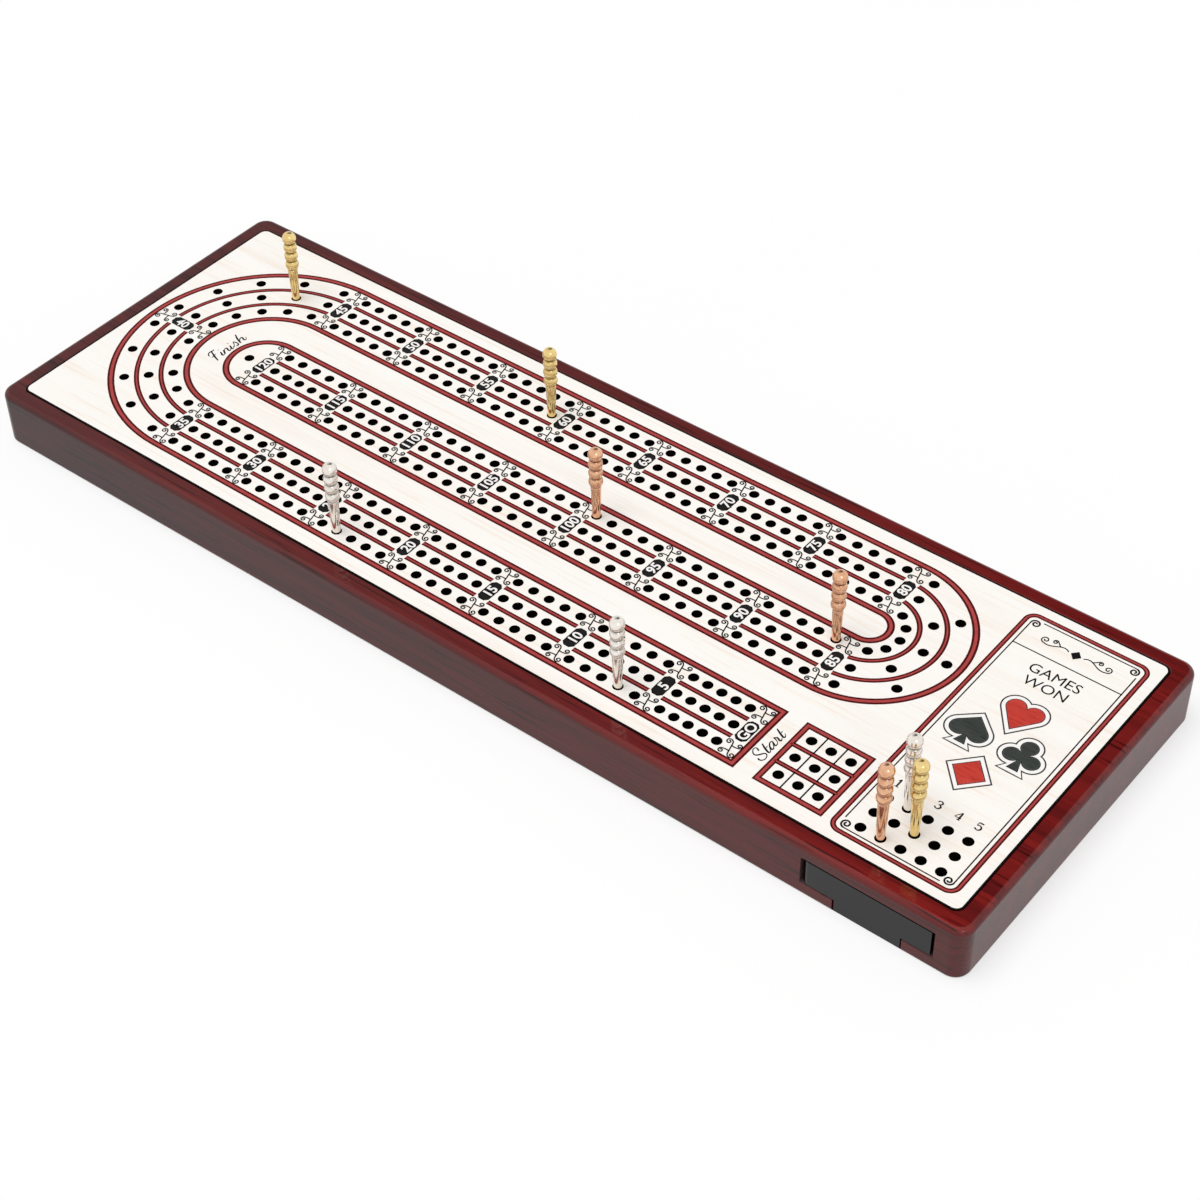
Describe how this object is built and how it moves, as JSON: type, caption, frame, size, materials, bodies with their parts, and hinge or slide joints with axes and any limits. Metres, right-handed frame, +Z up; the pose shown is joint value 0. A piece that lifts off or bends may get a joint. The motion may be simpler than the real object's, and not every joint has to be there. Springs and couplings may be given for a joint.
{
  "type": "cribbage board",
  "caption": "Wooden cribbage board with a drilled looping track, card-suit inlays, turned metal pegs in their holes and a peg drawer that swings out of its front edge.",
  "frame": {"origin": "middle of the underside", "axes": "+X along the board towards the start of the track and the games-won panel, -Y towards the front edge with the drawer, +Z up"},
  "size_m": [0.368, 0.124, 0.0477],
  "materials": {
    "red_wood": "dark red stain under gloss lacquer",
    "maple": "pale, satin lacquer",
    "black_wood": "black stain under satin lacquer",
    "red_inlay": "red stain under satin lacquer",
    "steel": "plain",
    "silver": "polished",
    "brass": "polished",
    "copper": "polished copper plate"
  },
  "bodies": {
    "board": {"base": "red_wood", "deck": "maple", "drawer_pin": "steel", "inlay_heart": "red_inlay", "inlay_diamond": "red_inlay", "inlay_spade": "black_wood", "inlay_club": "black_wood"},
    "drawer": {"drawer": "black_wood"},
    "peg_silver_1": {"peg_silver_1": "silver"},
    "peg_silver_2": {"peg_silver_2": "silver"},
    "peg_silver_3": {"peg_silver_3": "silver"},
    "peg_brass_1": {"peg_brass_1": "brass"},
    "peg_brass_2": {"peg_brass_2": "brass"},
    "peg_brass_3": {"peg_brass_3": "brass"},
    "peg_copper_1": {"peg_copper_1": "copper"},
    "peg_copper_2": {"peg_copper_2": "copper"},
    "peg_copper_3": {"peg_copper_3": "copper"}
  },
  "joints": [
    {"name": "drawer_swing", "type": "hinge", "parent": "board", "child": "drawer", "pos_m": [0.1352, -0.0596, 0.009], "axis": [0, 0, -1], "range_deg": [0, 90]},
    {"name": "peg_silver_1_lift", "type": "slide", "parent": "board", "child": "peg_silver_1", "axis": [0, 0, 1], "range_m": [0, 0.012]},
    {"name": "peg_silver_2_lift", "type": "slide", "parent": "board", "child": "peg_silver_2", "axis": [0, 0, 1], "range_m": [0, 0.012]},
    {"name": "peg_silver_3_lift", "type": "slide", "parent": "board", "child": "peg_silver_3", "axis": [0, 0, 1], "range_m": [0, 0.012]},
    {"name": "peg_brass_1_lift", "type": "slide", "parent": "board", "child": "peg_brass_1", "axis": [0, 0, 1], "range_m": [0, 0.012]},
    {"name": "peg_brass_2_lift", "type": "slide", "parent": "board", "child": "peg_brass_2", "axis": [0, 0, 1], "range_m": [0, 0.012]},
    {"name": "peg_brass_3_lift", "type": "slide", "parent": "board", "child": "peg_brass_3", "axis": [0, 0, 1], "range_m": [0, 0.012]},
    {"name": "peg_copper_1_lift", "type": "slide", "parent": "board", "child": "peg_copper_1", "axis": [0, 0, 1], "range_m": [0, 0.012]},
    {"name": "peg_copper_2_lift", "type": "slide", "parent": "board", "child": "peg_copper_2", "axis": [0, 0, 1], "range_m": [0, 0.012]},
    {"name": "peg_copper_3_lift", "type": "slide", "parent": "board", "child": "peg_copper_3", "axis": [0, 0, 1], "range_m": [0, 0.012]}
  ]
}
